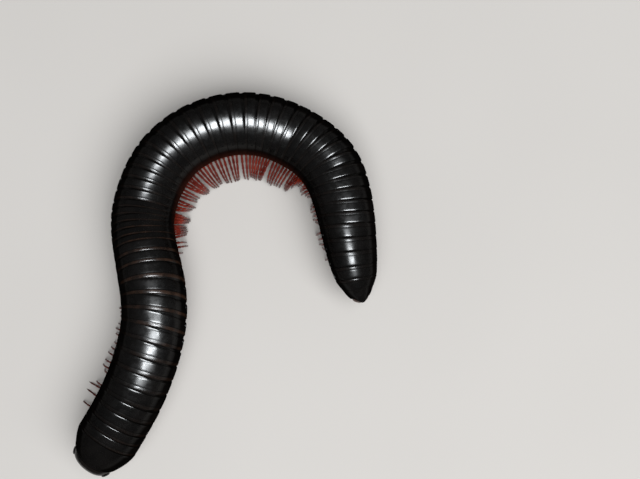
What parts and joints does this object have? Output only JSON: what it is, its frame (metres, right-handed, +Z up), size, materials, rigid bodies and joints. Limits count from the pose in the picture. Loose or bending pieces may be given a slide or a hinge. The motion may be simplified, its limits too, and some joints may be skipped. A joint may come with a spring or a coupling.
{
  "type": "millipede",
  "caption": "Still life-size giant millipede, a long round ringed body bent into a hook, resting on many short legs.",
  "frame": {"origin": "on the floor under the middle of the model's box", "axes": "+Z up from the floor; +Y the longest side, from the head's end towards the top of the arch; +X to the tail's side"},
  "size_m": [0.0764, 0.0965, 0.0183],
  "materials": {
    "shell": "glossy near-black shell with a brown cast",
    "shell_edge": "glossy red-brown shell, as on thin ring edges",
    "limb": "glossy brick red leg and antenna cuticle",
    "mouthparts": "satin dark brown cuticle",
    "eye": "glossy dark grey beaded eye patch"
  },
  "bodies": {
    "root": {"trunk_01": "shell", "trunk_02": "shell", "trunk_03": "shell", "trunk_04": "shell", "trunk_05": "shell", "trunk_06": "shell", "trunk_07": "shell", "trunk_08": "shell", "trunk_09": "shell", "trunk_10": "shell", "collum": "shell", "head": "shell", "telson": "shell", "mandible_left": "mouthparts", "mandible_right": "mouthparts", "chin_plate": "mouthparts", "antenna_left": "limb", "antenna_right": "limb", "eye_left": "eye", "eye_right": "eye", "valve_left": "shell_edge", "valve_right": "shell_edge", "subanal_scale": "shell_edge"}
  },
  "joints": []
}
